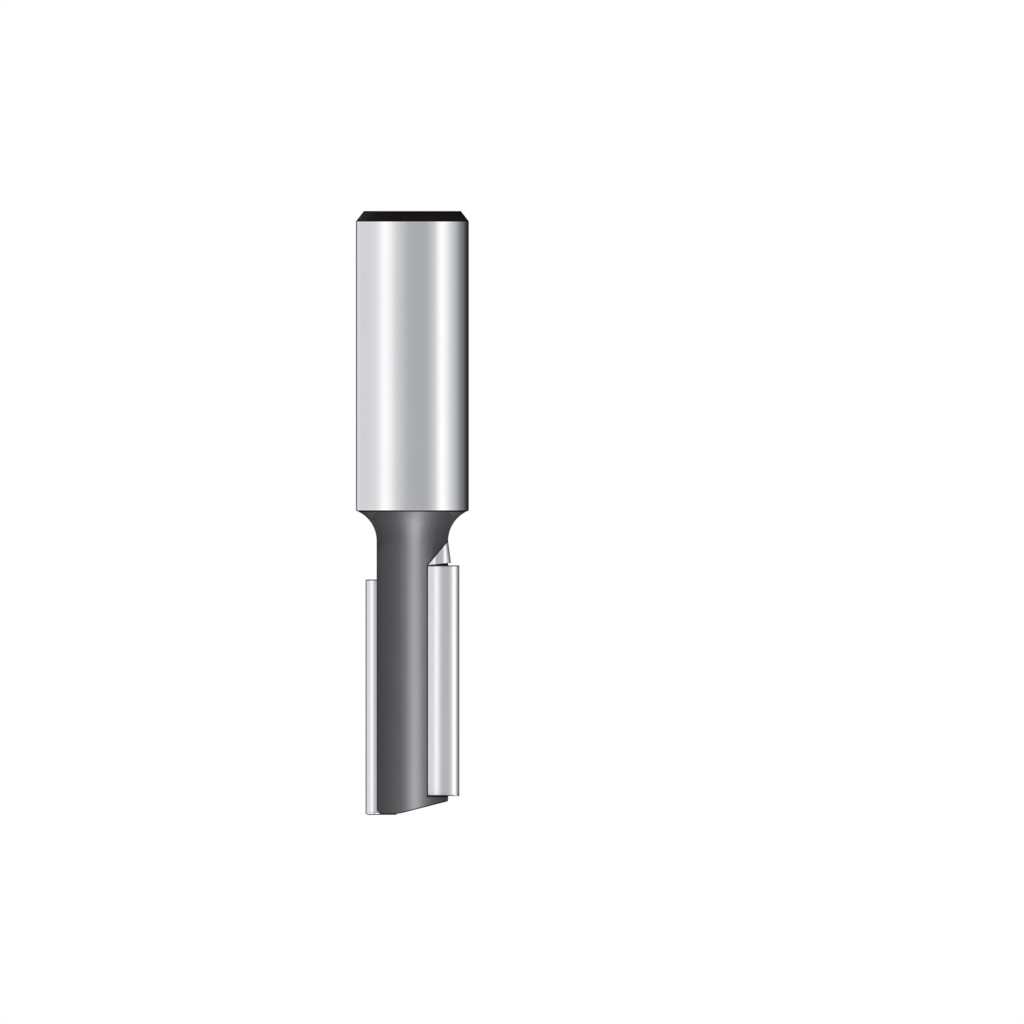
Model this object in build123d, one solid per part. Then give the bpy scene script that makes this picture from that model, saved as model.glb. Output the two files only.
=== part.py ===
"""Straight two-flute router bit: a turned steel body with two brazed carbide tips.

The origin is the centre of the shank's flat end and +Z runs along the axis towards the cutter, so the
bit stands on its shank. A tip's own directions are +X from the axis to its cutting edge and +Y the way its
rake face looks; the plunge tip is built in them, and the side tip is turned half a turn about the axis.
"""
from build123d import *

import math
import os

# Shank
SHANK_DIAMETER = 12.0
SHANK_LENGTH = 31.8
SHANK_CHAMFER_LENGTH = 1.1
SHANK_CHAMFER_DEPTH = 0.85

# Neck and cutter body
BODY_DIAMETER = 7.6
NECK_FILLET_RADIUS = 3.45
END_SLOPE_DEG = 14.4
END_BEND_X = 1.68
END_BEND_RADIUS = 7.2
END_HEEL_RADIUS = 0.64
END_TOE_RADIUS = 0.2

# Carbide tips
CUTTING_DIAMETER = 10.0
TIP_THICKNESS = 1.36
TIP_INNER_X = 1.65
RAKE_OFFSET = 0.2
SIDE_RELIEF_DEG = 15.0
END_RELIEF_DEG = 6.0
SIDE_TIP_LENGTH = 24.5
NECK_TO_SIDE_TIP = 2.6
SIDE_TIP_TO_END = 1.95
PLUNGE_TIP_LENGTH = 25.0
PLUNGE_TIP_PROUD = 0.05

# Flutes and seats
FLUTE_RUNOUT_LENGTH = 2.55
SEAT_TOP_SLOPE_DEG = 6.2
LAND_WRAP_DEG = 50.0
FLARE_LENGTH = 2.35

SHANK_RADIUS = SHANK_DIAMETER / 2
BODY_RADIUS = BODY_DIAMETER / 2
CUTTING_RADIUS = CUTTING_DIAMETER / 2
RAKE_Y = -RAKE_OFFSET
SEAT_Y = RAKE_Y - TIP_THICKNESS
LAND_RADIUS = math.hypot(BODY_RADIUS, SEAT_Y)
EDGE_X = math.sqrt(CUTTING_RADIUS**2 - RAKE_Y**2)
FILLET_CENTRE_X = BODY_RADIUS + NECK_FILLET_RADIUS
FILLET_OVERHANG = FILLET_CENTRE_X - SHANK_RADIUS
NECK_END_Z = SHANK_LENGTH + math.sqrt(NECK_FILLET_RADIUS**2 - FILLET_OVERHANG**2)
SIDE_TIP_START_Z = NECK_END_Z + NECK_TO_SIDE_TIP
SIDE_TIP_END_Z = SIDE_TIP_START_Z + SIDE_TIP_LENGTH
BODY_END_Z = SIDE_TIP_END_Z + SIDE_TIP_TO_END
PLUNGE_TIP_END_Z = BODY_END_Z + PLUNGE_TIP_PROUD
PLUNGE_TIP_START_Z = PLUNGE_TIP_END_Z - PLUNGE_TIP_LENGTH

# Cutting tools reach this far past the blank, so that no skin is left
REACH = CUTTING_DIAMETER
HALF_TURN = Rotation(0, 0, 180)


def slab(outline, low_y, high_y):
    """A closed outline of (x, z) corners as a prism between two heights along Y."""
    face = make_face(Polyline(*[(x, 0, z) for x, z in outline], close=True))
    return Pos(0, low_y, 0) * extrude(face, amount=high_y - low_y, dir=(0, 1, 0))


def turned_blank():
    """Shank, concave neck and round cutter body, turned about Z."""
    shank_end = Polyline(
        (0, 0, 0),
        (SHANK_RADIUS - SHANK_CHAMFER_DEPTH, 0, 0),
        (SHANK_RADIUS, 0, SHANK_CHAMFER_LENGTH),
        (SHANK_RADIUS, 0, SHANK_LENGTH),
    )
    start_angle = math.asin(FILLET_OVERHANG / NECK_FILLET_RADIUS)
    middle_angle = (start_angle + math.pi / 2) / 2
    middle_x = FILLET_CENTRE_X - NECK_FILLET_RADIUS * math.sin(middle_angle)
    middle_z = NECK_END_Z - NECK_FILLET_RADIUS * math.cos(middle_angle)
    shoulder = (SHANK_RADIUS, 0, SHANK_LENGTH)
    neck_end = (BODY_RADIUS, 0, NECK_END_Z)
    neck = ThreePointArc(shoulder, (middle_x, 0, middle_z), neck_end)
    cutter = Polyline(neck_end, (BODY_RADIUS, 0, BODY_END_Z), (0, 0, BODY_END_Z), (0, 0, 0))
    return revolve(make_face([*shank_end.edges(), *neck.edges(), *cutter.edges()]), Axis.Z)


def flare():
    """The envelope of the lands: a cone from the end of the neck out to the land radius, then a cylinder."""
    outline = Polyline(
        (0, 0, NECK_END_Z),
        (BODY_RADIUS, 0, NECK_END_Z),
        (LAND_RADIUS, 0, NECK_END_Z + FLARE_LENGTH),
        (LAND_RADIUS, 0, BODY_END_Z),
        (0, 0, BODY_END_Z),
        close=True,
    )
    return revolve(make_face(outline), Axis.Z)


def land():
    """The wing behind a tip: an arc from its tangent point on the round body to the seat's outer corner."""
    corner_angle = math.atan2(SEAT_Y, BODY_RADIUS)
    tangent_angle = corner_angle - math.radians(LAND_WRAP_DEG)
    reach_past = BODY_RADIUS - LAND_RADIUS * math.cos(math.radians(LAND_WRAP_DEG))
    shift = (LAND_RADIUS**2 - BODY_RADIUS**2) / (2 * reach_past)
    arc_radius = BODY_RADIUS + shift
    centre = Vector(-shift * math.cos(tangent_angle), -shift * math.sin(tangent_angle))
    corner = Vector(BODY_RADIUS, SEAT_Y)
    tangent = Vector(BODY_RADIUS * math.cos(tangent_angle), BODY_RADIUS * math.sin(tangent_angle))
    middle_way = ((corner - centre) + (tangent - centre)).normalized()
    middle = centre + middle_way * arc_radius
    outline = [
        ThreePointArc(tangent, middle, corner),
        Line(corner, (BODY_RADIUS, 0)),
        Line((BODY_RADIUS, 0), (0, 0)),
        Line((0, 0), tangent),
    ]
    face = make_face(outline)
    return Pos(0, 0, NECK_END_Z) * extrude(face, amount=BODY_END_Z - NECK_END_Z)


def cheek(seat_top_z):
    """The flared corner of steel between a flute's floor and the seat plane, above the side tip."""
    block = [(0, NECK_END_Z), (REACH, NECK_END_Z), (REACH, seat_top_z), (0, seat_top_z)]
    return flare() & slab(block, SEAT_Y, RAKE_Y)


def flute(start_z, end_z):
    """The L-shaped flute in front of a tip, with its slanted run-out towards the neck."""
    run = FLUTE_RUNOUT_LENGTH / (BODY_RADIUS - TIP_INNER_X)
    outline = [
        (TIP_INNER_X, start_z),
        (TIP_INNER_X, end_z),
        (REACH, end_z),
        (REACH, start_z - run * (REACH - TIP_INNER_X)),
    ]
    return slab(outline, RAKE_Y, REACH)


def seat(start_z, end_z):
    """The pocket that a tip is brazed into; its top slants away from the tip's square end."""
    rise = (REACH - TIP_INNER_X) * math.tan(math.radians(SEAT_TOP_SLOPE_DEG))
    outline = [(TIP_INNER_X, start_z), (TIP_INNER_X, end_z), (REACH, end_z), (REACH, start_z - rise)]
    return slab(outline, SEAT_Y, RAKE_Y)


def end_trim():
    """What is taken off the cutter end: a level heel at the plunge tip, then a slope up to the side tip."""
    toe_z = BODY_END_Z - (END_BEND_X + BODY_RADIUS) * math.tan(math.radians(END_SLOPE_DEG))
    low_z = toe_z - END_TOE_RADIUS - END_HEEL_RADIUS
    corners = [
        (-BODY_RADIUS, low_z),
        (-BODY_RADIUS, toe_z),
        (END_BEND_X, BODY_END_Z),
        (BODY_RADIUS, BODY_END_Z),
        (BODY_RADIUS, low_z),
    ]
    kept = make_face(Polyline(*corners, close=True))
    by_x = kept.vertices().filter_by(lambda v: v.Y > low_z + END_TOE_RADIUS / 2).sort_by(Axis.X)
    for corner, radius in zip(by_x, (END_TOE_RADIUS, END_BEND_RADIUS, END_HEEL_RADIUS)):
        kept = fillet(kept.vertices().sort_by_distance(corner)[0], radius)
    high_z = BODY_END_Z + REACH
    around = make_face(
        Polyline((-REACH, low_z), (REACH, low_z), (REACH, high_z), (-REACH, high_z), close=True)
    )
    upright = Plane.XZ.offset(-REACH) * (around - kept)
    return extrude(upright, amount=2 * REACH, dir=(0, -1, 0))


def bit_body():
    """The steel body, with its lands, flutes, seats and slanted end."""
    past_end = BODY_END_Z + REACH
    body = turned_blank() + (flare() & land()) + HALF_TURN * (flare() & land())
    body += HALF_TURN * cheek(SIDE_TIP_START_Z)
    body -= flute(PLUNGE_TIP_START_Z, past_end) + seat(PLUNGE_TIP_START_Z, past_end)
    body -= HALF_TURN * (flute(SIDE_TIP_START_Z, SIDE_TIP_END_Z) + seat(SIDE_TIP_START_Z, SIDE_TIP_END_Z))
    return body - end_trim()


def tip(start_z, end_z):
    """A flat carbide tip: square at its start, with a relief behind its side edge."""
    relief = TIP_THICKNESS * math.tan(math.radians(SIDE_RELIEF_DEG))
    section = Polyline(
        (TIP_INNER_X, RAKE_Y),
        (EDGE_X, RAKE_Y),
        (EDGE_X - relief, SEAT_Y),
        (TIP_INNER_X, SEAT_Y),
        close=True,
    )
    return Pos(0, 0, start_z) * extrude(make_face(section), amount=end_z - start_z)


def side_tip():
    """The tip that stops short of the end; both its ends are square."""
    return HALF_TURN * tip(SIDE_TIP_START_Z, SIDE_TIP_END_Z)


def plunge_tip():
    """The tip that reaches the end, with a relief behind its end edge."""
    drop = TIP_THICKNESS * math.tan(math.radians(END_RELIEF_DEG))
    behind_edge = Polyline(
        (0, RAKE_Y, PLUNGE_TIP_END_Z),
        (0, SEAT_Y, PLUNGE_TIP_END_Z),
        (0, SEAT_Y, PLUNGE_TIP_END_Z - drop),
        close=True,
    )
    ground_off = extrude(make_face(behind_edge), amount=REACH, dir=(1, 0, 0))
    return tip(PLUNGE_TIP_START_Z, PLUNGE_TIP_END_Z) - ground_off


os.makedirs("parts", exist_ok=True)
for name, piece in (("bit_body", bit_body()), ("side_tip", side_tip()), ("plunge_tip", plunge_tip())):
    solids = piece.solids()
    print(name, len(solids), "solid", [round(s.volume, 2) for s in solids])
    export_step(Compound(children=solids) if len(solids) > 1 else solids[0], f"parts/{name}.step")
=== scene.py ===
"""Dresses the straight router bit: ground shank, black end, satin coat, and two ground carbide tips."""
from __future__ import annotations

import logging
import math
from collections.abc import Callable, Mapping
from dataclasses import dataclass
from enum import Enum

import bpy
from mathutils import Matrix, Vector


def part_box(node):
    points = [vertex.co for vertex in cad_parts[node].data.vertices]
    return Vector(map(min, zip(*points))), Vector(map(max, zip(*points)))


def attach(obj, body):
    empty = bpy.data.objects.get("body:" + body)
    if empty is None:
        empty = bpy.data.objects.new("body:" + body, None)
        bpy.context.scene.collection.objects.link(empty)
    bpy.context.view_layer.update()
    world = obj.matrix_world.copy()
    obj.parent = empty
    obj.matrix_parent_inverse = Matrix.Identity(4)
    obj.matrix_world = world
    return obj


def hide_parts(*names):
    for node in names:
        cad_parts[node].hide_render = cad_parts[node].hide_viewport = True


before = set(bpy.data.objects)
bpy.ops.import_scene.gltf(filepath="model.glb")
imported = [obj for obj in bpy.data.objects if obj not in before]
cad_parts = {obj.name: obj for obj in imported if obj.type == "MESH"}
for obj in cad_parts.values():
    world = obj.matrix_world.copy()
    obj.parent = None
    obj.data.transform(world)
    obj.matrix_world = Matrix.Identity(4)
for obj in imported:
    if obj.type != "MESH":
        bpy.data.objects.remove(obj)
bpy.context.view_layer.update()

LOG = logging.getLogger("router_bit")
MM = 0.001

# The picture: its side, its scale, and where the bit's axis and the shank's end lie in it
PICTURE_PX = 1024
PX_PER_MM = 9.42
AXIS_PX = 412.4
SHANK_END_PX = 211.0

Colour = tuple[float, float, float]


class Zone(Enum):
    """The finishes of the steel body, each with its material slot."""

    SHANK = 0
    END = 1
    COAT = 2
    CUTTER_END = 3
    FLOOR = 4
    WALL = 5


class TipFace(Enum):
    """The faces of a carbide tip, each with its material slot."""

    RAKE = 0
    BACK = 1
    FLANK = 2
    END = 3


class Signal:
    """A shader value that takes part in ordinary arithmetic.

    Args:
        sheet: The node sheet that the value lives on.
        socket: The output socket that gives the value.
    """

    def __init__(self, sheet: NodeSheet, socket: bpy.types.NodeSocket) -> None:
        """Keeps the sheet and the socket."""
        self.sheet = sheet
        self.socket = socket

    def _math(self, operation: str, *values: Signal | float) -> Signal:
        """Adds one Math node.

        Args:
            operation: The node's operation.
            *values: Its inputs, in order.

        Returns:
            The node's result.
        """
        node = self.sheet.add("ShaderNodeMath", {"operation": operation}, dict(enumerate(values)))
        return Signal(self.sheet, node.outputs[0])

    def __add__(self, other: Signal | float) -> Signal:
        """The sum."""
        return self._math("ADD", self, other)

    def __radd__(self, other: float) -> Signal:
        """The sum with a number on the left."""
        return self._math("ADD", other, self)

    def __sub__(self, other: Signal | float) -> Signal:
        """The difference."""
        return self._math("SUBTRACT", self, other)

    def __rsub__(self, other: float) -> Signal:
        """A number less this value."""
        return self._math("SUBTRACT", other, self)

    def __mul__(self, other: Signal | float) -> Signal:
        """The product."""
        return self._math("MULTIPLY", self, other)

    def __rmul__(self, other: float) -> Signal:
        """The product with a number on the left."""
        return self._math("MULTIPLY", other, self)

    def __truediv__(self, other: Signal | float) -> Signal:
        """The quotient."""
        return self._math("DIVIDE", self, other)

    def size(self) -> Signal:
        """The value without its sign."""
        return self._math("ABSOLUTE", self)

    def sign(self) -> Signal:
        """1 where the value is above zero, and -1 where it is below."""
        return self._math("SIGN", self)

    def root(self) -> Signal:
        """The square root."""
        return self._math("SQRT", self)

    def at_least(self, bottom: Signal | float) -> Signal:
        """The value, or the bottom if that is more."""
        return self._math("MAXIMUM", self, bottom)

    def at_most(self, top: Signal | float) -> Signal:
        """The value, or the top if that is less."""
        return self._math("MINIMUM", self, top)

    def angle_from(self, other: Signal) -> Signal:
        """The angle in radians whose tangent is this value over the other."""
        return self._math("ARCTAN2", self, other)

    def step(self, low: float, high: float) -> Signal:
        """A smooth step.

        Args:
            low: Where it is 0.
            high: Where it is 1.

        Returns:
            The step's value, between 0 and 1.
        """
        settings = {"interpolation_type": "SMOOTHSTEP", "clamp": True}
        inputs = {"Value": self, "From Min": low, "From Max": high}
        return Signal(self.sheet, self.sheet.add("ShaderNodeMapRange", settings, inputs).outputs["Result"])

    def blend(self, start: float, stop: float) -> Signal:
        """A number that goes from the start to the stop as this share goes from 0 to 1."""
        return start + (stop - start) * self

    def swing(self, width: float) -> Signal:
        """A number that swings by this width about zero as this share goes from 0 to 1."""
        return self.blend(-width / 2, width / 2)


class NodeSheet:
    """A node tree that is filled by calls, with one way to add any node.

    Args:
        tree: The node tree of a material or of the world.
    """

    def __init__(self, tree: bpy.types.NodeTree) -> None:
        """Empties the tree."""
        self.tree = tree
        tree.nodes.clear()

    def add(
        self,
        kind: str,
        settings: Mapping | None = None,
        inputs: Mapping | None = None,
    ) -> bpy.types.Node:
        """Adds one node.

        Args:
            kind: The node's type.
            settings: Its settings, set first; "stops" fills a colour ramp.
            inputs: Values or links for its sockets, by name or by number.

        Returns:
            The node.
        """
        node = self.tree.nodes.new(kind)
        for name, value in (settings or {}).items():
            if name == "stops":
                self._fill_ramp(node.color_ramp, value)
            else:
                setattr(node, name, value)
        for key, value in (inputs or {}).items():
            self._feed(node.inputs[key], value)
        return node

    def _feed(self, socket: bpy.types.NodeSocket, value: object) -> None:
        """Links or sets one input socket.

        Args:
            socket: The input socket.
            value: A signal or an output socket to link, or else the value to set.
        """
        if isinstance(value, Signal):
            self.tree.links.new(value.socket, socket)
        elif isinstance(value, bpy.types.NodeSocket):
            self.tree.links.new(value, socket)
        else:
            socket.default_value = value

    @staticmethod
    def _fill_ramp(ramp: bpy.types.ColorRamp, stops: list[tuple[float, Colour]]) -> None:
        """Gives a ramp its stops.

        Args:
            ramp: The colour ramp.
            stops: The stops in order, each a position and a colour.
        """
        ramp.interpolation = "CARDINAL"
        while len(ramp.elements) > 1:
            ramp.elements.remove(ramp.elements[-1])
        ramp.elements[0].position = stops[0][0]
        ramp.elements[0].color = (*stops[0][1], 1)
        for position, colour in stops[1:]:
            ramp.elements.new(position).color = (*colour, 1)

    def place(self) -> tuple[Signal, Signal, Signal]:
        """Reads the shaded point in the bit's own frame.

        Returns:
            Its X, Y and Z in metres.
        """
        coordinates = self.add("ShaderNodeTexCoord").outputs["Object"]
        split = self.add("ShaderNodeSeparateXYZ", None, {"Vector": coordinates})
        return tuple(Signal(self, out) for out in split.outputs)

    def noise(self, grain: tuple[float, float, float]) -> Signal:
        """Lays noise over the bit.

        Args:
            grain: How long a grain is along X, Y and Z, in metres.

        Returns:
            The noise, between 0 and 1.
        """
        coordinates = self.add("ShaderNodeTexCoord").outputs["Object"]
        grains = self.add("ShaderNodeVectorMath", {"operation": "DIVIDE"}, {0: coordinates, 1: grain})
        noise = self.add("ShaderNodeTexNoise", None, {"Vector": grains.outputs[0], "Scale": 1.0})
        return Signal(self, noise.outputs[0])

    def bump(self, height: Signal) -> bpy.types.NodeSocket:
        """The normal of a surface with this height over it, in metres."""
        inputs = {"Height": height, "Strength": 1.0, "Distance": 1.0}
        return self.add("ShaderNodeBump", None, inputs).outputs["Normal"]

    def shaded(self, colour: Colour, brightness: Signal) -> bpy.types.NodeSocket:
        """Darkens a colour.

        Args:
            colour: The colour at full brightness.
            brightness: The brightness, from 0 to 1.

        Returns:
            The colour times the brightness.
        """
        black, full, result = 6, 7, 2
        inputs = {0: brightness, black: (0, 0, 0, 1), full: (*colour, 1)}
        return self.add("ShaderNodeMix", {"data_type": "RGBA"}, inputs).outputs[result]

    def glow(self, colour: object, strength: float) -> None:
        """Ends the sheet in one Emission shader."""
        light = self.add("ShaderNodeEmission", None, {"Color": colour, "Strength": strength})
        self.add("ShaderNodeOutputMaterial", None, {"Surface": light.outputs[0]})

    def surface(self, **inputs: object) -> None:
        """Ends the sheet in one Principled shader.

        Args:
            **inputs: Values or links for its sockets, named in small letters with underscores for spaces.
        """
        names = {key: key.replace("_", " ").title().replace("Ior", "IOR") for key in inputs}
        named = {names[key]: value for key, value in inputs.items()}
        shader = self.add("ShaderNodeBsdfPrincipled", None, named)
        self.add("ShaderNodeOutputMaterial", None, {"Surface": shader.outputs["BSDF"]})


def new_material(name: str) -> tuple[bpy.types.Material, NodeSheet]:
    """Makes a material.

    Args:
        name: Its name.

    Returns:
        The material and its empty node sheet.
    """
    material = bpy.data.materials.new(name)
    material.use_nodes = True
    return material, NodeSheet(material.node_tree)


class Edge:
    """An edge of a face, along which its finish changes."""

    def distance(self, sheet: NodeSheet) -> Signal:
        """How far a point of the face lies from the edge; each kind of edge has its own."""
        raise NotImplementedError


@dataclass(frozen=True)
class Shoulder(Edge):
    """The ring where the shank ends and the neck begins."""

    z: float

    def distance(self, sheet: NodeSheet) -> Signal:
        """How far a point lies past the shoulder, towards the cutter."""
        return sheet.place()[2] - self.z


@dataclass(frozen=True)
class Ends(Edge):
    """The two ends of a face along the bit."""

    low: float
    high: float

    def distance(self, sheet: NodeSheet) -> Signal:
        """How far a point lies from the nearer end, along the bit."""
        z = sheet.place()[2]
        return (z - self.low).at_most(self.high - z)


@dataclass(frozen=True)
class OuterEdge(Edge):
    """The outer edge of a ground face, which may lean outwards along the bit."""

    reach: float
    lean: float = 0.0
    lean_from: float = 0.0

    def distance(self, sheet: NodeSheet) -> Signal:
        """How far a point lies inside the edge, along X."""
        x, _, z = sheet.place()
        return self.reach + self.lean * (z - self.lean_from) - x.size()


@dataclass(frozen=True)
class CutEdges(Edge):
    """Where the two flutes and the slanted end cut the round body, seen along Y.

    The side tip's flute opens towards -X where Y is negative, and the plunge tip's is the same turned half
    round.
    """

    wall: float
    runout_rise: float
    side_flute: Ends
    plunge_flute: Ends
    end: float
    bend_x: float
    end_slope: float
    same_plane: float = 0.01 * MM

    def distance(self, sheet: NodeSheet) -> Signal:
        """Measures how far a point of the body lies from the nearest cut edge.

        Args:
            sheet: The node sheet of the finish.

        Returns:
            The distance in metres.
        """
        x, y, z = sheet.place()
        at_plunge_tip = y.step(-self.same_plane, self.same_plane)
        start = at_plunge_tip.blend(self.side_flute.low, self.plunge_flute.low)
        stop = at_plunge_tip.blend(self.side_flute.high, self.plunge_flute.high)
        past_wall = x * y.sign() - self.wall
        past_runout = (z - start + self.runout_rise * past_wall) / math.hypot(1, self.runout_rise)
        in_flute = past_wall.at_most(past_runout).at_most(stop - z)
        to_end = self.end - z + self.end_slope * (x - self.bend_x).at_most(0)
        return (0 - in_flute).at_most(to_end)


@dataclass(frozen=True)
class SeatTops(Edge):
    """The slanted top edges of the two tip seats, where the floors of the flutes end."""

    wall: float
    slant: float
    side_start: float
    plunge_start: float
    same_side: float = 0.01 * MM

    def distance(self, sheet: NodeSheet) -> Signal:
        """Measures how far a point of a flute's floor lies from the edge, along the bit.

        Args:
            sheet: The node sheet of the finish.

        Returns:
            The distance in metres.
        """
        x, _, z = sheet.place()
        at_plunge_tip = x.step(-self.same_side, self.same_side)
        start = at_plunge_tip.blend(self.side_start, self.plunge_start)
        return start - self.slant * (x.size() - self.wall) - z


@dataclass(frozen=True)
class ShadeLine:
    """A line of painted shade along an edge, which darkens the colour of a face.

    It leaves only a share of the light up to its core, and all of it from its width on.
    """

    core: float
    width: float
    share: float

    def beside(self, distance: Signal) -> Signal:
        """The share of light that is left at a distance from the edge, which is 1 past the line."""
        return distance.step(self.core, self.width).blend(self.share, 1.0)


def lined(sheet: NodeSheet, brightness: Signal, *lines: tuple[ShadeLine, Edge | None]) -> Signal:
    """Paints shade into a face's colour: takes its brightness down in a line along each of its edges.

    Args:
        sheet: The node sheet of the finish.
        brightness: The brightness of the open face.
        *lines: The lines, each with its edge, or with None where the face has no such edge.

    Returns:
        The brightness with the lines in it.
    """
    for line, edge in lines:
        if edge is not None:
            brightness = brightness * line.beside(edge.distance(sheet))
    return brightness


@dataclass(frozen=True)
class GroundShank:
    """Bright steel, ground round the axis, with a painted highlight: a fine line at both ends painted
    brighter.
    """

    ends: Ends
    colour: Colour = (0.99, 0.995, 1.0)
    open_share: float = 0.91
    # The painted highlight line at both ends: full brightness up to its core, fading to the open share at its
    # width.
    highlight_core: float = 0.11 * MM
    highlight_width: float = 0.22 * MM
    roughness: float = 0.09
    line_length: float = 16.7 * MM
    line_pitch: float = 0.05 * MM
    line_depth: float = 0.00002 * MM
    line_swing: float = 0.02
    cloud_size: float = 6.7 * MM
    cloud_shade: float = 0.97
    cloud_swing: float = 0.03

    def make(self) -> bpy.types.Material:
        """Builds the finish.

        Returns:
            The material.
        """
        material, sheet = new_material("ground_shank")
        lines = sheet.noise((self.line_length, self.line_length, self.line_pitch))
        cloud = sheet.noise((self.cloud_size,) * 3)
        # Painted highlight: the colour is brighter in a fine line at both ends of the shank, and a little
        # dimmer on the open face.
        off_the_ends = self.ends.distance(sheet).step(self.highlight_core, self.highlight_width)
        bright = off_the_ends.blend(1.0, self.open_share) * cloud.blend(self.cloud_shade, 1.0)
        sheet.surface(
            base_color=sheet.shaded(self.colour, bright),
            metallic=1.0,
            roughness=self.roughness + cloud.swing(self.cloud_swing) + lines.swing(self.line_swing),
            normal=sheet.bump(lines * self.line_depth),
        )
        return material


@dataclass(frozen=True)
class BlackEnd:
    """Black oxide on the chamfer and the end of the shank."""

    colour: Colour = (0.0215, 0.0145, 0.0170)
    roughness: float = 0.45
    gloss: float = 0.02
    grain_size: float = 0.25 * MM
    grain_shade: float = 0.6
    grain_swing: float = 0.1

    def make(self) -> bpy.types.Material:
        """Builds the finish.

        Returns:
            The material.
        """
        material, sheet = new_material("black_end")
        grain = sheet.noise((self.grain_size,) * 3)
        sheet.surface(
            base_color=sheet.shaded(self.colour, grain.blend(self.grain_shade, 1.0)),
            metallic=0.0,
            roughness=self.roughness + grain.swing(self.grain_swing),
            specular_ior_level=self.gloss,
        )
        return material


@dataclass(frozen=True)
class SatinCoat:
    """The dark satin coat of the neck and the cutter body.

    It lies on turning marks that run round the axis, so that a light draws out along the bit. Its colour has
    painted shade: a little darker in the curve of the neck under the shoulder, and darkest in a fine painted
    shade line at the shoulder and along the edges of the flutes and the end.
    """

    name: str
    shoulder: Shoulder
    cut_edges: CutEdges | None = None
    # Painted shade: darker under the shoulder, and fine dark lines at the shoulder and along the cut edges.
    neck_shade: ShadeLine = ShadeLine(core=0.0, width=1.6 * MM, share=0.78)
    shoulder_shade_line: ShadeLine = ShadeLine(core=0.08 * MM, width=0.20 * MM, share=0.18)
    cut_shade_line: ShadeLine = ShadeLine(core=0.085 * MM, width=0.17 * MM, share=0.18)
    colour: Colour = (0.129, 0.129, 0.1375)
    edge_tint: float = 0.12
    metallic: float = 0.85
    roughness: float = 0.72
    along_bit: float = 0.76
    quarter_turn: float = 0.25
    grain_size: float = 0.08 * MM
    grain_depth: float = 0.0004 * MM
    cloud_size: float = 4.0 * MM
    cloud_shade: float = 0.9
    cloud_swing: float = 0.03

    def make(self) -> bpy.types.Material:
        """Builds the finish.

        Returns:
            The material.
        """
        material, sheet = new_material(self.name)
        grain = sheet.noise((self.grain_size,) * 3)
        cloud = sheet.noise((self.cloud_size,) * 3)
        # The coat's colour is darkened by painted shade under the shoulder and along its cut edges.
        bright = lined(
            sheet,
            cloud.blend(self.cloud_shade, 1.0),
            (self.neck_shade, self.shoulder),
            (self.shoulder_shade_line, self.shoulder),
            (self.cut_shade_line, self.cut_edges),
        )
        sheet.surface(
            base_color=sheet.shaded(self.colour, bright),
            metallic=self.metallic,
            roughness=self.roughness + cloud.swing(self.cloud_swing),
            specular_ior_level=0.0,
            specular_tint=(self.edge_tint, self.edge_tint, self.edge_tint, 1),
            anisotropic=self.along_bit,
            anisotropic_rotation=self.quarter_turn,
            normal=sheet.bump(grain * self.grain_depth),
        )
        return material


@dataclass(frozen=True)
class CrownArc:
    """One side of a crowned face, which curves away from where it starts, up to a steepest lean.

    A lean is the sine of the angle that the face tips by. Past the steepest, the face runs on straight.
    """

    start: float
    radius: float
    first_lean: float = 0.0
    steepest: float = 0.65

    def height(self, way: Signal) -> Signal:
        """Works out the height over the flat of the face, which is below zero past the start.

        Args:
            way: How far a point lies past the start.

        Returns:
            The height in metres.
        """
        lean = self.first_lean + way.at_least(0) / self.radius
        curved = lean.at_most(self.steepest)
        slope = self.steepest / math.sqrt(1 - self.steepest**2)
        flat = math.sqrt(1 - self.first_lean**2)
        return ((1 - curved * curved).root() - flat - slope * (lean - curved)) * self.radius


@dataclass(frozen=True)
class GroundFace:
    """Bright steel or carbide, ground along the bit, with the soft roll of light of a crowned face.

    The crown has an arc towards the face's outer edge, and one towards the axis where that side is seen. The
    face's colour has painted shade in a band along its outer edge, and a fine painted shade line where it
    ends: at both ends of a tip, and at the seat's top on a flute's floor.
    """

    name: str
    outer: CrownArc
    inner: CrownArc | None = None
    outer_edge: OuterEdge | None = None
    ends: Ends | None = None
    seat_tops: SeatTops | None = None
    # Painted shade: a band along the outer edge, and fine lines at the ends and at the seat's top.
    edge_shade: ShadeLine = ShadeLine(core=0.0, width=0.50 * MM, share=0.10)
    end_shade_line: ShadeLine = ShadeLine(core=0.09 * MM, width=0.15 * MM, share=0.10)
    seat_shade_line: ShadeLine = ShadeLine(core=0.042 * MM, width=0.07 * MM, share=0.35)
    colour: Colour = (0.95, 0.953, 0.965)
    roughness: float = 0.10
    line_pitch: float = 0.06 * MM
    line_length: float = 5.0 * MM
    line_shade: float = 0.97
    line_swing: float = 0.03

    def make(self) -> bpy.types.Material:
        """Builds the finish.

        Returns:
            The material.
        """
        material, sheet = new_material(self.name)
        lines = sheet.noise((self.line_pitch, self.line_pitch, self.line_length))
        # The colour is darkened by painted shade along the outer edge, at the ends and at the seat's top.
        bright = lined(
            sheet,
            lines.blend(self.line_shade, 1.0),
            (self.edge_shade, self.outer_edge),
            (self.end_shade_line, self.ends),
            (self.seat_shade_line, self.seat_tops),
        )
        sheet.surface(
            base_color=sheet.shaded(self.colour, bright),
            metallic=1.0,
            roughness=self.roughness + lines.swing(self.line_swing),
            normal=sheet.bump(self._crown(sheet)),
        )
        return material

    def _crown(self, sheet: NodeSheet) -> Signal:
        """Works out the height of the crown over the flat face.

        Args:
            sheet: The node sheet of the finish.

        Returns:
            The height in metres.
        """
        from_axis = sheet.place()[0].size()
        crown = self.outer.height(from_axis - self.outer.start)
        if self.inner is not None:
            crown = crown + self.inner.height(self.inner.start - from_axis)
        return crown


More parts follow.
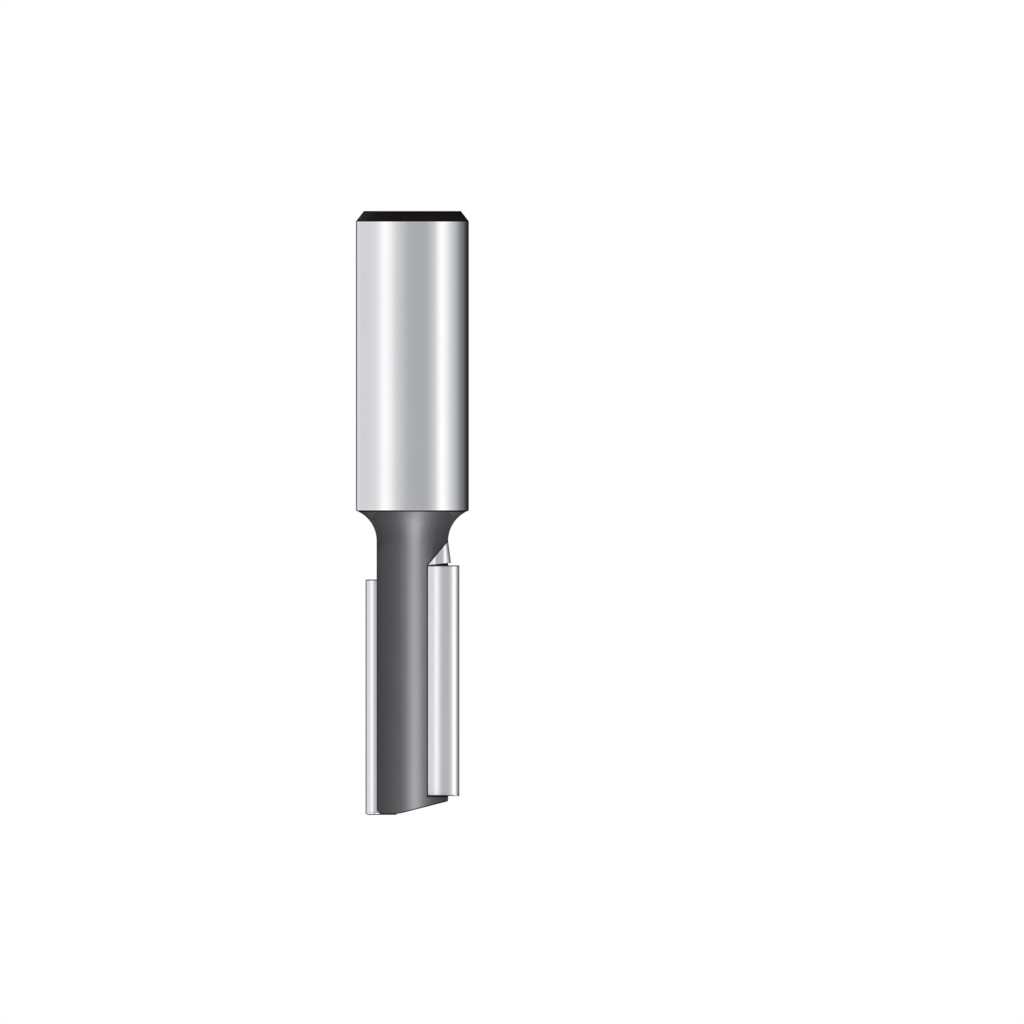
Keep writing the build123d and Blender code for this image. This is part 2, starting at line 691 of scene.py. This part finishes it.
@dataclass(frozen=True)
class PlainFace:
    """A narrow or inner face, ground plain, with a fine painted shade line along a cutting edge and at both
    ends.
    """

    name: str
    outer_edge: OuterEdge | None = None
    ends: Ends | None = None
    # Painted shade: the fine dark line along the cutting edge and at both ends.
    line: ShadeLine = ShadeLine(core=0.108 * MM, width=0.18 * MM, share=0.10)
    colour: Colour = (0.95, 0.953, 0.965)
    edge_tint: float = 1.0
    roughness: float = 0.20
    line_pitch: float = 0.11 * MM
    line_length: float = 1.4 * MM
    line_shade: float = 0.94
    line_swing: float = 0.05

    def make(self) -> bpy.types.Material:
        """Builds the finish.

        Returns:
            The material.
        """
        material, sheet = new_material(self.name)
        lines = sheet.noise((self.line_pitch, self.line_pitch, self.line_length))
        open_face = lines.blend(self.line_shade, 1.0)
        # The colour is darkened by painted shade in a fine line along the cutting edge and at both ends.
        bright = lined(sheet, open_face, (self.line, self.outer_edge), (self.line, self.ends))
        sheet.surface(
            base_color=sheet.shaded(self.colour, bright),
            metallic=1.0,
            roughness=self.roughness + lines.swing(self.line_swing),
            specular_tint=(self.edge_tint, self.edge_tint, self.edge_tint, 1),
        )
        return material


def select_only(piece: bpy.types.Object) -> None:
    """Deselects everything, then selects one piece and makes it active.

    Args:
        piece: The object.
    """
    bpy.ops.object.select_all(action="DESELECT")
    piece.select_set(True)
    bpy.context.view_layer.objects.active = piece


def apply_modifier(piece: bpy.types.Object, kind: str, **settings: object) -> None:
    """Adds one modifier to a piece and applies it.

    Args:
        piece: The mesh object.
        kind: The modifier's type.
        **settings: Its settings.
    """
    select_only(piece)
    modifier = piece.modifiers.new(kind.lower(), kind)
    for name, value in settings.items():
        setattr(modifier, name, value)
    bpy.ops.object.modifier_apply(modifier=modifier.name)


@dataclass
class DressedPiece:
    """A piece that follows its CAD node exactly, with its edges broken and its finishes laid on.

    A face looks along an axis where that axis's share of its normal is above the value named facing.
    """

    node: str
    slot: str
    edge_break: float = 0.05 * MM
    break_segments: int = 2
    break_finish: int = -1
    merge_gap: float = 0.0005 * MM
    flat_deg: float = 0.4
    smooth_deg: float = 60.0
    facing: float = 0.9

    def build(self) -> bpy.types.Object:
        """Makes the piece from its node's form.

        Returns:
            The new mesh object, riding on the body and standing for the node.
        """
        piece = self._copied()
        self._cleaned(piece)
        self.dress(piece)
        self._weigh_edges(piece)
        apply_modifier(
            piece,
            "BEVEL",
            width=self.edge_break,
            segments=self.break_segments,
            limit_method="WEIGHT",
            use_clamp_overlap=False,
            material=self.break_finish,
        )
        select_only(piece)
        bpy.ops.object.shade_smooth_by_angle(angle=math.radians(self.smooth_deg))
        apply_modifier(piece, "WEIGHTED_NORMAL", mode="FACE_AREA", weight=100, keep_sharp=True)
        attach(piece, "root")
        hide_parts(self.node)
        return piece

    def _copied(self) -> bpy.types.Object:
        """Copies the node's mesh.

        Returns:
            The copy, as a new object in the scene.
        """
        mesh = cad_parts[self.node].data.copy()
        piece = bpy.data.objects.new(f"dressed_{self.node}", mesh)
        bpy.context.scene.collection.objects.link(piece)
        return piece

    def _cleaned(self, piece: bpy.types.Object) -> None:
        """Joins the loose triangles and opens each flat face up to one face.

        Args:
            piece: The mesh object.
        """
        select_only(piece)
        bpy.ops.mesh.customdata_custom_splitnormals_clear()
        bpy.ops.object.mode_set(mode="EDIT")
        bpy.ops.mesh.select_all(action="SELECT")
        bpy.ops.mesh.remove_doubles(threshold=self.merge_gap)
        bpy.ops.mesh.dissolve_limited(angle_limit=math.radians(self.flat_deg))
        bpy.ops.object.mode_set(mode="OBJECT")

    def _weigh_edges(self, piece: bpy.types.Object) -> None:
        """Gives the edges that are broken their weight, which the bevel reads.

        Args:
            piece: The mesh object.
        """
        corners = piece.data.vertices
        weights = piece.data.attributes.new("bevel_weight_edge", "FLOAT", "EDGE")
        for edge, weight in zip(piece.data.edges, weights.data):
            start, end = (corners[number].co for number in edge.vertices)
            weight.value = float(self.is_broken(start, end))

    def is_broken(self, start: Vector, end: Vector) -> bool:
        """Whether the edge between two corners is broken."""
        return True

    def dress(self, piece: bpy.types.Object) -> None:
        """Lays the finishes on; each kind of piece has its own."""
        raise NotImplementedError

    @staticmethod
    def lay(
        piece: bpy.types.Object,
        materials: list[bpy.types.Material],
        choose: Callable[[bpy.types.MeshPolygon], int],
    ) -> None:
        """Gives each face one of several materials.

        Args:
            piece: The mesh object.
            materials: The materials, in the order of their numbers.
            choose: Gives a face's number.
        """
        piece.data.materials.clear()
        for material in materials:
            piece.data.materials.append(material)
        for face in piece.data.polygons:
            face.material_index = choose(face)


@dataclass
class BitBody(DressedPiece):
    """The steel body: ground shank, black end, coated neck and cutter, ground flutes.

    The sizes are those of the solid, and the finishes are laid by them.
    """

    edge_break: float = 0.03 * MM
    break_finish: int = Zone.COAT.value
    chamfer_end: float = 1.1 * MM
    shank_end: float = 31.8 * MM
    shank_radius: float = 6.0 * MM
    neck_radius: float = 3.45 * MM
    body_radius: float = 3.8 * MM
    flare_length: float = 2.35 * MM
    tip_thickness: float = 1.36 * MM
    rake: float = 0.2 * MM
    wall: float = 1.65 * MM
    runout_length: float = 2.55 * MM
    end_bend_x: float = 1.68 * MM
    end_slope_deg: float = 14.4
    seat_slope_deg: float = 6.2
    floor_crown: CrownArc = CrownArc(2.9 * MM, 1.1 * MM)
    tolerance: float = 0.04 * MM
    runout_facing: float = 0.3
    end_facing: float = 0.5

    @property
    def neck_end(self) -> float:
        """Where the neck's arc meets the cutter body."""
        overhang = self.body_radius + self.neck_radius - self.shank_radius
        return self.shank_end + math.sqrt(self.neck_radius**2 - overhang**2)

    def is_broken(self, start: Vector, end: Vector) -> bool:
        """Only the round edges of the shank are broken; the flutes and the end are ground sharp."""
        rings = (0.0, self.chamfer_end, self.shank_end)
        return any(max(abs(start.z - ring), abs(end.z - ring)) < self.tolerance for ring in rings)

    def dress(self, piece: bpy.types.Object) -> None:
        """Lays the finishes on.

        Args:
            piece: The mesh object.
        """
        shoulder = Shoulder(self.shank_end)
        crown, edge, tops = self.floor_crown, self._floor_edge(), self._seat_tops()
        finishes = {
            Zone.SHANK: GroundShank(Ends(self.chamfer_end, self.shank_end)),
            Zone.END: BlackEnd(),
            Zone.COAT: SatinCoat("satin_coat", shoulder, self._cut_edges()),
            Zone.CUTTER_END: SatinCoat("satin_end", shoulder),
            Zone.FLOOR: GroundFace("ground_floor", crown, crown, outer_edge=edge, seat_tops=tops),
            Zone.WALL: PlainFace("ground_wall"),
        }
        self.lay(piece, [finishes[zone].make() for zone in Zone], self._zone)

    def _floor_edge(self) -> OuterEdge:
        """Finds the outer edge of a flute's floor, which leans out with the flare behind the seat.

        Returns:
            The edge.
        """
        land_radius = math.hypot(self.body_radius, self.rake + self.tip_thickness)
        lean = (land_radius - self.body_radius) / self.flare_length
        return OuterEdge(self.body_radius, lean, self.neck_end)

    def _seat_tops(self) -> SeatTops:
        """Where the two seats end towards the neck."""
        starts = (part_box(tip)[0].z for tip in ("side_tip", "plunge_tip"))
        return SeatTops(self.wall, math.tan(math.radians(self.seat_slope_deg)), *starts)

    def _cut_edges(self) -> CutEdges:
        """Finds where the flutes and the end cut the round body.

        Returns:
            The edges.
        """
        side_low, side_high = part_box("side_tip")
        plunge_low, plunge_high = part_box("plunge_tip")
        return CutEdges(
            wall=self.wall,
            runout_rise=self.runout_length / (self.body_radius - self.wall),
            side_flute=Ends(side_low.z, side_high.z),
            plunge_flute=Ends(plunge_low.z, plunge_high.z),
            end=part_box(self.node)[1].z,
            bend_x=self.end_bend_x,
            end_slope=math.tan(math.radians(self.end_slope_deg)),
        )

    def _zone(self, face: bpy.types.MeshPolygon) -> int:
        """Finds the finish of a face.

        Args:
            face: The face.

        Returns:
            The number of the finish.
        """
        at, normal = face.center, face.normal
        if at.z < self.chamfer_end:
            return Zone.END.value
        if at.z < self.shank_end:
            return Zone.SHANK.value
        side = math.copysign(1, at.x)
        if abs(at.y * side + self.rake) < self.tolerance and normal.y * side > self.facing:
            return Zone.FLOOR.value
        past_rake = at.y * side > -self.rake - self.tolerance
        on_wall = abs(at.x * side - self.wall) < self.tolerance and normal.x * side > self.facing
        on_runout = at.z > self.neck_end and min(normal.z, normal.x * side) > self.runout_facing
        if past_rake and (on_wall or on_runout):
            return Zone.WALL.value
        return Zone.CUTTER_END.value if normal.z > self.end_facing else Zone.COAT.value


@dataclass
class CarbideTip(DressedPiece):
    """A carbide tip with a ground rake face and back, which overhangs the land behind it, and grey ends."""

    break_finish: int = TipFace.FLANK.value
    rake_outer: CrownArc = CrownArc(3.34 * MM, 2.11 * MM)
    rake_inner: CrownArc = CrownArc(3.38 * MM, 2.90 * MM, first_lean=0.235)
    back_crown: CrownArc = CrownArc(3.9 * MM, 0.9 * MM)
    end_colour: Colour = (0.42, 0.42, 0.43)
    end_tint: float = 0.2
    end_roughness: float = 0.12

    def dress(self, piece: bpy.types.Object) -> None:
        """Lays the ground rake face, the ground back and the plain sides on.

        Args:
            piece: The mesh object.
        """
        low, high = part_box(self.node)
        edge = OuterEdge(max(abs(low.x), abs(high.x)))
        rake, back, flank, end = (f"{self.node}_{kind.name.lower()}" for kind in TipFace)
        rake_ends, back_ends, flank_ends, _ = (self._ends(piece, kind) for kind in TipFace)
        finishes = {
            TipFace.RAKE: GroundFace(rake, self.rake_outer, self.rake_inner, edge, rake_ends),
            TipFace.BACK: GroundFace(back, self.back_crown, ends=back_ends),
            TipFace.FLANK: PlainFace(flank, edge, flank_ends),
            TipFace.END: PlainFace(
                end,
                colour=self.end_colour,
                edge_tint=self.end_tint,
                roughness=self.end_roughness,
            ),
        }
        self.lay(piece, [finishes[kind].make() for kind in TipFace], self._kind)

    def _kind(self, face: bpy.types.MeshPolygon) -> int:
        """Finds the finish of a face.

        Args:
            face: The face.

        Returns:
            The number of the finish.
        """
        if abs(face.normal.z) > self.facing:
            return TipFace.END.value
        if abs(face.normal.y) < self.facing:
            return TipFace.FLANK.value
        low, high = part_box(self.node)
        looks_forward = face.normal.y * (low.x + high.x) > 0
        return TipFace.RAKE.value if looks_forward else TipFace.BACK.value

    def _ends(self, piece: bpy.types.Object, kind: TipFace) -> Ends:
        """Finds the lowest and highest Z of one kind of face.

        Args:
            piece: The mesh object.
            kind: The kind of face.

        Returns:
            The two ends.
        """
        faces = [face for face in piece.data.polygons if self._kind(face) == kind.value]
        heights = [piece.data.vertices[corner].co.z for face in faces for corner in face.vertices]
        return Ends(min(heights), max(heights))


@dataclass(frozen=True)
class LightTent:
    """A round wall of soft light about the bit, brighter and darker round its turn, with a plain base.

    Its levels are given against the angle round the axis in degrees, counted from the camera towards -X.
    """

    radius: float = 0.30
    low: float = -0.60
    high: float = 0.60
    sides: int = 96
    plain_light: Colour = (1.0, 0.993, 0.99)
    plain_level: float = 1.1
    cool_light: Colour = (0.968, 0.985, 1.035)
    cool_level: float = 0.45
    head_room: float = 1.1
    base_level: float = 0.75
    levels: tuple[tuple[float, float], ...] = (
        (-180, 0.35),
        (-171, 0.10),
        (-164, 0.03),
        (-150, 0.72),
        (-130, 0.72),
        (-100, 0.74),
        (-76, 0.84),
        (-57, 1.10),
        (-36, 0.79),
        (-14, 0.53),
        (14, 0.45),
        (34, 0.53),
        (48, 0.76),
        (61, 1.12),
        (80, 0.82),
        (107, 0.38),
        (130, 0.14),
        (150, 0.03),
        (168, 0.06),
        (180, 0.35),
    )

    def build(self) -> bpy.types.Object:
        """Makes the wall and its base.

        Returns:
            The wall.
        """
        wall = self._wall()
        self._base()
        return wall

    def _wall(self) -> bpy.types.Object:
        """Makes the wall, whose light goes by the angle round the axis.

        Returns:
            The wall.
        """
        bpy.ops.object.select_all(action="DESELECT")
        bpy.ops.mesh.primitive_cylinder_add(
            vertices=self.sides,
            radius=self.radius,
            depth=self.high - self.low,
            end_fill_type="NOTHING",
            location=(0, 0, (self.high + self.low) / 2),
        )
        material, sheet = new_material("tent_light")
        x, y, _ = sheet.place()
        turn = (0 - x).angle_from(0 - y) / (2 * math.pi) + 0.5
        brightest = self.head_room * max(level for _, level in self.levels)
        stops = [(angle / 360 + 0.5, self._light(level, level / brightest)) for angle, level in self.levels]
        ramp = sheet.add("ShaderNodeValToRGB", {"stops": stops}, {"Fac": turn})
        sheet.glow(ramp.outputs["Color"], brightest)
        return self._hang("light_tent", material)

    def _base(self) -> bpy.types.Object:
        """Closes the wall below, so that steel which is seen from high up mirrors plain grey light.

        Returns:
            The base.
        """
        bpy.ops.object.select_all(action="DESELECT")
        bpy.ops.mesh.primitive_circle_add(
            vertices=self.sides,
            radius=self.radius,
            fill_type="NGON",
            location=(0, 0, self.low),
        )
        material, sheet = new_material("base_light")
        sheet.glow((1, 1, 1, 1), self.base_level)
        return self._hang("tent_base", material)

    @staticmethod
    def _hang(name: str, material: bpy.types.Material) -> bpy.types.Object:
        """Finishes the part of the tent that is active.

        No camera ray sees it, and it throws no shadow.

        Args:
            name: The part's name.
            material: The part's light.

        Returns:
            The part, with its place in its mesh.
        """
        cloth = bpy.context.active_object
        cloth.name = name
        bpy.ops.object.transform_apply(location=True)
        cloth.data.materials.append(material)
        cloth.visible_camera = False
        cloth.visible_shadow = False
        cloth.visible_diffuse = False
        return cloth

    def _light(self, level: float, share: float) -> Colour:
        """The wall's colour at a level, cooler where it is darker, times a share."""
        plain = min(1.0, max(0.0, (level - self.cool_level) / (self.plain_level - self.cool_level)))
        return tuple(share * (c + plain * (p - c)) for c, p in zip(self.cool_light, self.plain_light))


@dataclass(frozen=True)
class SoftLamp:
    """A flat lamp that looks at the bit; it shows in reflections alone, or is kept out of them.

    It turns about the axis from the camera towards -X, and rises from level. A lamp that shows in reflections
    throws none of its light on by the polished shank, so the floor has no glare.
    """

    name: str
    turn_deg: float
    rise_deg: float
    width: float
    height: float
    power: float
    in_reflections: bool = True
    distance: float = 0.45
    aim_height: float = 0.04

    def build(self) -> bpy.types.Object:
        """Makes the lamp, which no camera ray sees.

        Returns:
            The lamp, turned towards the bit.
        """
        turn, rise = math.radians(self.turn_deg), math.radians(self.rise_deg)
        out = Vector((-math.sin(turn) * math.cos(rise), -math.cos(turn) * math.cos(rise), math.sin(rise)))
        data = bpy.data.lights.new(self.name, "AREA")
        data.shape = "RECTANGLE"
        data.size = self.width
        data.size_y = self.height
        data.energy = self.power
        if self.in_reflections:
            data.cycles.max_bounces = 0
        lamp = bpy.data.objects.new(self.name, data)
        lamp.location = Vector((0, 0, self.aim_height)) + self.distance * out
        lamp.rotation_euler = (-out).to_track_quat("-Z", "Y").to_euler()
        lamp.visible_camera = False
        lamp.visible_glossy = self.in_reflections
        lamp.visible_diffuse = not self.in_reflections
        bpy.context.scene.collection.objects.link(lamp)
        return lamp


LAMPS = (
    SoftLamp(
        "soft_key", turn_deg=-35, rise_deg=50, width=0.30, height=0.30, power=0.16, in_reflections=False
    ),
    SoftLamp("gleam_front", turn_deg=8, rise_deg=25, width=0.05, height=0.05, power=5.6),
    SoftLamp("gleam_wide", turn_deg=8, rise_deg=25, width=0.60, height=0.05, power=1.8),
    SoftLamp("gleam_side", turn_deg=130, rise_deg=25, width=0.05, height=0.05, power=0.35),
    SoftLamp("gleam_back", turn_deg=188, rise_deg=25, width=0.05, height=0.05, power=3.2),
)


@dataclass(frozen=True)
class Studio:
    """The white surroundings: the world and the pale floor that the bit stands on."""

    half_side: float = 6.0
    floor_colour: Colour = (0.86, 0.86, 0.86)
    floor_roughness: float = 0.9
    cloud_size: float = 0.025
    cloud_shade: float = 0.99
    fill: float = 0.8

    def build(self) -> bpy.types.Object:
        """Makes the world and the floor.

        Returns:
            The floor.
        """
        self._world()
        return self._floor()

    def _world(self) -> None:
        """Makes the world, white where it is seen or mirrored and a plain fill light elsewhere."""
        world = bpy.data.worlds.new("studio")
        world.use_nodes = True
        bpy.context.scene.world = world
        sheet = NodeSheet(world.node_tree)
        path = sheet.add("ShaderNodeLightPath").outputs
        seen = Signal(sheet, path["Is Camera Ray"]) + Signal(sheet, path["Is Glossy Ray"])
        seen = seen + Signal(sheet, path["Is Transmission Ray"])
        inputs = {"Color": (1, 1, 1, 1), "Strength": seen.blend(self.fill, 1.0)}
        light = sheet.add("ShaderNodeBackground", None, inputs)
        sheet.add("ShaderNodeOutputWorld", None, {"Surface": light.outputs[0]})

    def _floor(self) -> bpy.types.Object:
        """Makes a plain pale floor at the shank's end, which the polished steel doesn't mirror.

        Returns:
            The floor.
        """
        bpy.ops.object.select_all(action="DESELECT")
        bpy.ops.mesh.primitive_plane_add(size=2 * self.half_side, location=(0, 0, 0))
        floor = bpy.context.active_object
        floor.name = "floor"
        material, sheet = new_material("pale_floor")
        cloud = sheet.noise((self.cloud_size,) * 3)
        colour = sheet.shaded(self.floor_colour, cloud.blend(self.cloud_shade, 1.0))
        sheet.surface(base_color=colour, roughness=self.floor_roughness, specular_ior_level=0.0)
        floor.data.materials.append(material)
        floor.visible_glossy = False
        return floor


@dataclass(frozen=True)
class PictureCamera:
    """The camera of the picture: square on to the bit, with the shank upwards and no perspective."""

    distance: float = 0.6
    nearest: float = 0.01
    furthest: float = 20.0

    def build(self) -> bpy.types.Object:
        """Makes the camera and gives it to the scene.

        Returns:
            The camera.
        """
        data = bpy.data.cameras.new("picture")
        data.type = "ORTHO"
        data.ortho_scale = PICTURE_PX / PX_PER_MM * MM
        data.clip_start = self.nearest
        data.clip_end = self.furthest
        camera = bpy.data.objects.new("picture", data)
        centre = PICTURE_PX / 2
        camera.location = (
            -(centre - AXIS_PX) / PX_PER_MM * MM,
            -self.distance,
            (centre - SHANK_END_PX) / PX_PER_MM * MM,
        )
        camera.rotation_euler = (math.radians(90), math.radians(180), 0)
        bpy.context.scene.collection.objects.link(camera)
        bpy.context.scene.camera = camera
        return camera


def main() -> None:
    """Builds the surroundings and then the pieces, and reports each."""
    logging.basicConfig(level=logging.INFO)
    bpy.context.scene.view_settings.view_transform = "Standard"
    for thing in (PictureCamera(), Studio(), LightTent(), *LAMPS):
        LOG.info("%s: built", thing.build().name)
    tips = (CarbideTip(node, "carbide") for node in ("side_tip", "plunge_tip"))
    for part in (BitBody("bit_body", "body_steel"), *tips):
        piece = part.build()
        LOG.info("%s: %d faces", piece.name, len(piece.data.polygons))


if __name__ == "__main__":
    main()
